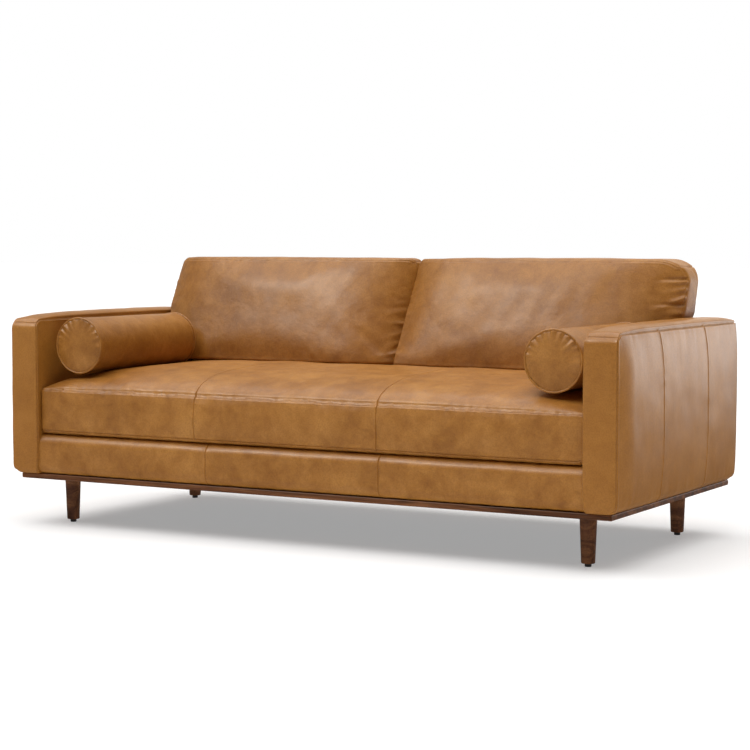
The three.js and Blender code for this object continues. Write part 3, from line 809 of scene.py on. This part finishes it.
def back_shape(q, t, low, high, name_x, base, corners):
    """A cushion that is domed at the front, leans back and thins out towards the top."""
    points = rounded(q, low, high, [[14 * MM] * 2, [10 * MM, 16 * MM], [12 * MM] * 2])
    for side, radius in zip((-1, 1), corners):
        corner = (side * high[0], high[2])
        points = rolled(points, (0, 2), corner, (-side, -1), radius * MM)
    inner = -np.sign(name_x)
    corner = (inner * high[0], high[2])
    to_rear = smoothstep(-0.6, 0.4, t[:, 1])
    points = rolled(points, (0, 2), corner, (-inner, -1), BACK_INNER_ROLL, to_rear)
    points = swollen(points, t, [[3 * MM] * 2, [BACK_CROWN, 10 * MM], [0, 3 * MM]], [3, 3, 3])
    falling = smoothstep(1.0, -0.6, t[:, 1])
    edge = np.clip(np.abs(points[:, 0]) / high[0], 0, 1)
    fall = (1 - np.sqrt(1 - BACK_FALL_TURN * edge**4)) / (1 - math.sqrt(1 - BACK_FALL_TURN))
    share = points[:, 2] / high[2]
    upright = np.where(t[:, 0] < 0, 0.15 + 0.85 * share, 1.0 + 0.3 * share)
    points[:, 1] += BACK_FALL * fall * falling * upright
    above = smoothstep(0.38, 0.54, share)
    outside = np.maximum(t[:, 0] * np.sign(name_x), 0) ** 8
    points[:, 0] += np.sign(name_x) * BACK_OUTER * above * outside
    thinning = smoothstep(0.5, -0.3, t[:, 1])
    depth = points[:, 1] * (1 - BACK_TAPER * share * thinning)
    y = BACK_MIDDLE_Y + BACK_SLOPE * points[:, 2] + depth
    return np.stack([points[:, 0] + name_x, y, points[:, 2] + base], axis=1)


def add_back_cushion(name, seed, pulled):
    """pulled is the stretch of the right seam, in height, that draws the leather into folds."""
    low, high = np_box(f"{name}_cover")
    name_x = (low[0] + high[0]) / 2
    base = low[2]
    rise = high[2] - low[2] - CROWN
    half = (high[0] - low[0]) / 2
    low = np.array([-half, -BACK_DEPTH / 2 + BACK_CROWN, 0])
    high = np.array([half, BACK_DEPTH / 2, rise])
    xs = with_arcs(finer_ends(low[0], high[0], 3 * MM, 5.5 * MM, 0.15), 12 * MM, 12 * MM)
    ys = with_arcs(graded((low[1], 3 * MM), (high[1], 7 * MM)), 10 * MM, 16 * MM)
    zs = graded((low[2], 3.2 * MM), (high[2] - 0.05, 3.5 * MM), (high[2], 2 * MM))
    q, quads = box_grid(xs, ys, zs)
    t = across(q, low, high)
    front = t[:, 1] < -ON_FACE

    def held(_, t):
        side_seam = (np.abs(t[:, 0]) > ON_FACE) & (t[:, 1] < -ON_FACE)
        return side_seam | (t[:, 1] > ON_FACE) | (np.abs(t[:, 2]) > ON_FACE)

    def shape(q, t):
        return back_shape(q, t, low, high, name_x, base, BACK_CORNERS[name])

    points = shape(q, t) + simulated(q, low, high, (88, 22, 34), shape, held, 0.003)
    height = np.zeros(len(q))
    for end in (-half, half):
        height += groove(edge_distance(q, (end, low[1]), (0, 1)), 2.2 * MM)
    height += groove(q[:, 2] - high[2] + BACK_TOP_SEAM, 2.2 * MM) * front
    height += groove(edge_distance(q, (0, high[1], high[2]), (1, 2)), 1.5 * MM, 2 * MM)
    rng = np.random.default_rng(seed)
    left_run = ((-half, 0.02), (-half, rise - 0.04))
    strokes = puckers(rng, *left_run, 0, 0.025, 0.06, 5 * MM, 1.6 * MM)
    right_run = ((half, pulled[0]), (half, pulled[1]))
    down_and_in = math.pi + 0.2
    strokes += puckers(rng, *right_run, down_and_in, 0.019, 0.08, 5 * MM, 7.5 * MM, fan=0.3)
    top_run = ((-half, rise - BACK_TOP_SEAM), (half, rise - BACK_TOP_SEAM))
    strokes += puckers(rng, *top_run, -QUARTER, 0.05, 0.04, 7 * MM, 0.6 * MM)
    height += folds(q[:, 0], q[:, 2], strokes) * front
    height += waves(q * [0.8, 1, 1], seed + 1, 0.22) * 1.6 * MM * (t[:, 2] > -0.99)
    height += waves(q, seed + 2, 0.09) * 0.7 * MM * (t[:, 2] > -0.99)
    add_cushion_leather(name, raised(points, quads, height), quads)


# The bolsters


def turned(profile, sides):
    """Turns a profile of (radius, height) about the height axis, which becomes Y. The profile
    starts and ends on the axis."""
    profile = np.asarray(profile, float)
    inner = profile[1:-1]
    radius = np.repeat(inner[:, 0], sides)
    height = np.repeat(inner[:, 1], sides)
    around = np.tile(np.arange(sides) * 2 * math.pi / sides, len(inner))
    rings = np.stack([radius * np.cos(around), height, radius * np.sin(around)], axis=1)
    points = np.concatenate([rings, [[0, profile[0, 1], 0], [0, profile[-1, 1], 0]]])
    row = np.arange(len(inner) - 1)[:, None] * sides
    here = np.arange(sides)
    there = (here + 1) % sides
    quads = np.stack([row + here, row + here + sides, row + there + sides, row + there], axis=-1)
    faces = quads.reshape(-1, 4).tolist()
    last_ring = len(rings) - sides
    for i in range(sides):
        j = (i + 1) % sides
        faces.append([len(rings), i, j])
        faces.append([len(rings) + 1, last_ring + j, last_ring + i])
    return points, faces


BOLSTER_SIDES = 192
PLEAT_SIZE = 8 * MM
PLEAT_WIDTH = 7.5 * MM


def bolster_profile(radius, half):
    """Half a section: a slightly domed end, a tucked rim under the welt, and the barrel."""
    rim = 10 * MM
    reach = radius - 5 * MM
    disc = [(reach * s, -half - 9 * MM * (1 - s**2.5)) for s in np.linspace(0, 1, 26)]
    turn = [
        (reach + (radius - reach) * math.sin(a), -half + rim * (1 - math.cos(a)) * 0.6 + 1 * MM)
        for a in np.linspace(0, QUARTER, 6)[1:]
    ]
    front = disc + turn
    barrel = [(radius, y) for y in np.linspace(-half + rim, half - rim, 76)]
    rear = [(r, -y) for r, y in reversed(front)]
    return front + barrel + rear


def add_bolster(name, seed):
    low, high = np_box(f"{name}_cover")
    welt_low, welt_high = np_box(f"{name}_welt_front")
    centre = (low + high) / 2
    radius = (high[0] - low[0]) / 2
    half = centre[1] - (welt_low[1] + welt_high[1]) / 2
    points, faces = turned(bolster_profile(radius, half), BOLSTER_SIDES)
    reach = np.hypot(points[:, 0], points[:, 2])
    angle = np.arctan2(points[:, 2], points[:, 0])
    rng = np.random.default_rng(seed)
    disc = np.abs(points[:, 1]) > half - 2 * MM
    pleats = np.zeros(len(points))
    place = 0.0
    while place < 2 * math.pi:
        top_share = 0.35 + 0.65 * max(0, math.sin(place)) ** 0.5
        size = PLEAT_SIZE * rng.uniform(0.4, 1.2) * top_share
        length = radius * rng.uniform(0.3, 0.62)
        turn = np.angle(np.exp(1j * (angle - place)))
        inward = np.clip(1 - (radius - reach) / length, 0, 1)
        pleats += size * inward * np.exp(-((turn * reach / PLEAT_WIDTH) ** 2))
        place += rng.uniform(0.2, 0.36)
    points[:, 1] += np.sign(points[:, 1]) * pleats * disc
    barrel = np.clip((half - np.abs(points[:, 1])) / 0.03, 0, 1)
    swell = (waves(points * [1, 0.5, 1], seed, 0.14) * 1.0 * MM - 0.5 * MM) * barrel
    points[:, [0, 2]] *= (1 + swell / np.maximum(reach, TINY))[:, None]
    add_cushion_leather(name, points + centre, faces)
    for end in ("front", "rear"):
        add_piping(name, end, centre)


def add_piping(name, end, centre):
    """A ring of piping that waves a little, as a sewn cord does."""
    low, high = np_box(f"{name}_welt_{end}")
    thick = (high[1] - low[1]) / 2
    major = (high[0] - low[0]) / 2 - thick
    y = (low[1] + high[1]) / 2
    around, sides = 240, 14
    a = np.arange(around) * 2 * math.pi / around
    b = np.arange(sides) * 2 * math.pi / sides
    wobble = 0.25 * MM * np.sin(17 * a) + 0.15 * MM * np.sin(41 * a + 1)
    grid = np.zeros((around, sides, 3))
    ring = major + wobble[:, None] + thick * np.cos(b)[None, :]
    grid[..., 0] = ring * np.cos(a)[:, None]
    grid[..., 1] = thick * np.sin(b)[None, :] + 0.3 * MM * np.sin(9 * a)[:, None]
    grid[..., 2] = ring * np.sin(a)[:, None]
    index = np.arange(around * sides).reshape(around, sides)
    after, above = np.roll(index, -1, 0), np.roll(index, -1, 1)
    both = np.roll(after, -1, 1)
    quads = np.stack([index, above, both, after], axis=-1).reshape(-1, 4)
    points = grid.reshape(-1, 3) + [centre[0], y, centre[2]]
    make(f"{name}_piping_{end}", points, quads, skin, name, "leather_welt", f"{name}_welt_{end}")


# Plinth, legs and glides


def copied(name, node, material, slot):
    """A piece with the shape of its CAD node."""
    return placed(name, frame["nodes"][node].data.copy(), material, ROOT, slot, node)


def add_plinth():
    """Mitred strips, each with its grain along its length."""
    grains = {"front": walnut_x, "rear": walnut_x, "left": walnut_y, "right": walnut_y}
    for side, material in grains.items():
        copied(f"plinth_{side}_walnut", f"plinth_{side}", material, "walnut")


def add_cloths():
    """The cloth over the webbing, and the one that closes the underside."""
    black_cloth = cloth("black_cloth", (0.008, 0.008, 0.009), (0.04, 0.04, 0.043), 1.6 * MM)
    straps = [name for name in frame["nodes"] if name.startswith("webbing_")]
    blocks = [name for name in frame["nodes"] if name.startswith("corner_block_")]
    for node, rests_on in (("deck_cloth", straps), ("dust_cover", blocks)):
        piece = copied(f"{node}_sheet", node, black_cloth, "black_cloth")


LEG_SIDES = 72
LEG_TAPER = 5.5 * MM  # how much smaller a leg's radius is at its foot


def footing(node):
    """The foot of an upright CAD node's axis, its radius and its height."""
    low, high = np_box(node)
    foot = np.array([(low[0] + high[0]) / 2, (low[1] + high[1]) / 2, low[2]])
    return foot, (high[0] - low[0]) / 2, high[2] - low[2]


def turned_piece(name, profile, foot, material, slot, node):
    """A turned piece that stands along Z on its foot."""
    points, faces = turned(profile, LEG_SIDES)
    standing = np.stack([points[:, 0], -points[:, 2], points[:, 1]], axis=1) + foot
    return make(name, standing, faces, material, ROOT, slot, node)


def arc(centre, radius, start, end, steps=5):
    """Points of (radius, height) round a centre, between two angles in degrees."""
    angles = np.radians(np.linspace(start, end, steps))
    return [(centre[0] + radius * math.cos(a), centre[1] + radius * math.sin(a)) for a in angles]


def add_leg(place):
    node = f"leg_{place}"
    foot, top_radius, tall = footing(node)
    foot_radius = top_radius - LEG_TAPER
    edge = 2.5 * MM
    shaft = [
        (foot_radius + (top_radius - foot_radius) * s, edge + (tall - edge) * s)
        for s in np.linspace(0.02, 1, 24)
    ]
    profile = [(0, 0), (foot_radius * 0.5, 0), *arc((foot_radius - edge, edge), edge, -90, 0)]
    profile += [*shaft, (top_radius * 0.5, tall), (0, tall)]
    turned_piece(f"{node}_turned", profile, foot, walnut_z, "walnut", node)


def add_glide(place):
    node = f"glide_{place}"
    foot, radius, _ = footing(node)
    tall = footing(f"leg_{place}")[0][2] - foot[2]
    edge = 2 * MM
    profile = [(0, 0), (radius * 0.5, 0), *arc((radius - edge, edge), edge, -90, 0)]
    profile += [*arc((radius - 1 * MM, tall - 1 * MM), 1 * MM, 0, 90), (0, tall)]
    turned_piece(f"{node}_moulded", profile, foot, black_nylon, "black_nylon", node)


def dress_inner_nodes():
    """The CAD nodes inside the sofa keep their shapes and get their own materials."""
    looks = {
        "hardwood": timber("sawn_hardwood", (0.36, 0.21, 0.10), (0.62, 0.43, 0.24)),
        "plywood": timber("birch_plywood", (0.50, 0.34, 0.18), (0.72, 0.55, 0.34)),
        "foam": cream_foam,
        "wadding": foam("white_wadding", (0.78, 0.77, 0.73), (0.92, 0.91, 0.88)),
        "webbing": cloth("jute_webbing", (0.06, 0.04, 0.02), (0.25, 0.17, 0.09), 3 * MM),
        "zinc_steel": zinc("zinc_steel"),
    }
    for row in frame["record"]["subparts"]:
        node = frame["nodes"][row["node"]]
        if row["material_slot"] in looks and not node.hide_render:
            node.data.materials.clear()
            node.data.materials.append(looks[row["material_slot"]])


# The studio

CAMERA_LENS = 94.944  # mm, for a 36 mm sensor
CAMERA_PLACE = (3.1836, -5.5772, 0.9341)
CAMERA_AZIMUTH = 29.567  # degrees to the right of the front
CAMERA_TILT = 3.864  # degrees down


def add_camera():
    data = bpy.data.cameras.new("camera")
    data.lens = CAMERA_LENS
    data.clip_end = 100
    camera = linked("camera", data)
    camera.location = CAMERA_PLACE
    camera.rotation_euler = (math.radians(90 - CAMERA_TILT), 0, math.radians(CAMERA_AZIMUTH))
    bpy.context.scene.camera = camera


def add_softbox(name, place, target, width, height, power, tint=(1, 1, 1)):
    data = bpy.data.lights.new(name, "AREA")
    data.shape = "RECTANGLE"
    data.size, data.size_y = width, height
    data.energy = power
    data.color = tint
    light = linked(name, data)
    light.location = place
    light.rotation_euler = (Vector(target) - light.location).to_track_quat("-Z", "Y").to_euler()
    return light


ROOM_LIGHT = 0.09  # how much of the white room's light falls on things
ROOM_FRONT = 0.40  # how bright reflections see the front of the room
ROOM_REAR = 1.20  # and its rear
ROOM_GROUND = 0.15  # and all that is below the horizon
ROOM_TINT = (1.0, 0.91, 0.82)  # the room's colour for all but the camera
FLOOR_HALF = 60  # half the floor's width
SKY_STRENGTH = 3.48
SKY_SPREAD = 80  # degrees across
SKY_TILT = (4, -5, 0)  # degrees
GLOSS_TINT = (1.0, 0.90, 0.78)  # warm


def add_room():
    """A white room for the camera. Reflections see it dark in front and below, and the lamps
    give most of the light."""
    n = Nodes("white_room", bpy.data.worlds)
    direction = n.add("SeparateXYZ", {"Vector": n.add("TexCoord").outputs["Generated"]}).outputs
    depth = n.range(direction["Y"], ROOM_FRONT, ROOM_REAR, 0.74, 0.94)
    above = n.range(direction["Z"], 0.0, 1.0, -0.10, 0.12)
    rays = n.add("LightPath").outputs
    seen = n.blend(above, ROOM_GROUND, depth)
    seen = n.blend(rays["Is Diffuse Ray"], seen, ROOM_LIGHT)
    background = n.tree.nodes["Background"].inputs
    n.put(background["Strength"], n.blend(rays["Is Camera Ray"], seen, 1.0))
    n.put(background["Color"], n.mix(rays["Is Camera Ray"], ROOM_TINT, (1.0, 1.0, 1.0)))
    bpy.context.scene.world = n.owner
    bpy.context.scene.view_settings.view_transform = "Standard"


def add_floor():
    corners = [(x * FLOOR_HALF, y * FLOOR_HALF, 0) for x, y in ((-1, -1), (1, -1), (1, 1), (-1, 1))]
    mesh = bpy.data.meshes.new("floor")
    mesh.from_pydata(corners, [], [(0, 1, 2, 3)])
    n = Nodes("white_floor")
    n.set(Base_Color=(0.72, 0.72, 0.72), Roughness=0.9, Specular_IOR_Level=0.2)
    n.set(Emission_Color=(1.0, 1.0, 1.0), Emission_Strength=0.32)
    mesh.materials.append(n.owner)
    floor = linked("floor", mesh)
    floor.visible_glossy = False


def add_sky():
    """Soft light from a wide patch overhead, which has no edge and no falloff."""
    data = bpy.data.lights.new("sky", "SUN")
    data.energy = SKY_STRENGTH
    data.angle = math.radians(SKY_SPREAD)
    light = linked("sky", data)
    light.rotation_euler = [math.radians(angle) for angle in SKY_TILT]


def add_studio():
    add_room()
    add_floor()
    add_sky()
    gloss = add_softbox("gloss", (-3.3, -4.4, 5.1), (0, 0, 0.7), 2.6, 0.9, 350, GLOSS_TINT)
    gloss.visible_diffuse = False
    add_softbox("side", (3.6, 5.8, 0.8), (1.1, 0, 0.4), 2.8, 1.5, 34)


add_camera()
add_studio()
for side in (-1, 1):
    add_arm(side, 11 + side)
add_back(31)
add_rail(41)
add_seat_cushion(51)
add_back_cushion("back_cushion_left", 61, (0.02, 0.20))
add_back_cushion("back_cushion_right", 62, (0.10, 0.30))
add_bolster("bolster_left", 71)
add_bolster("bolster_right", 72)
add_plinth()
for row in ("front", "rear"):
    for column in ("left", "right"):
        add_leg(f"{row}_{column}")
        add_glide(f"{row}_{column}")
add_cloths()
dress_inner_nodes()
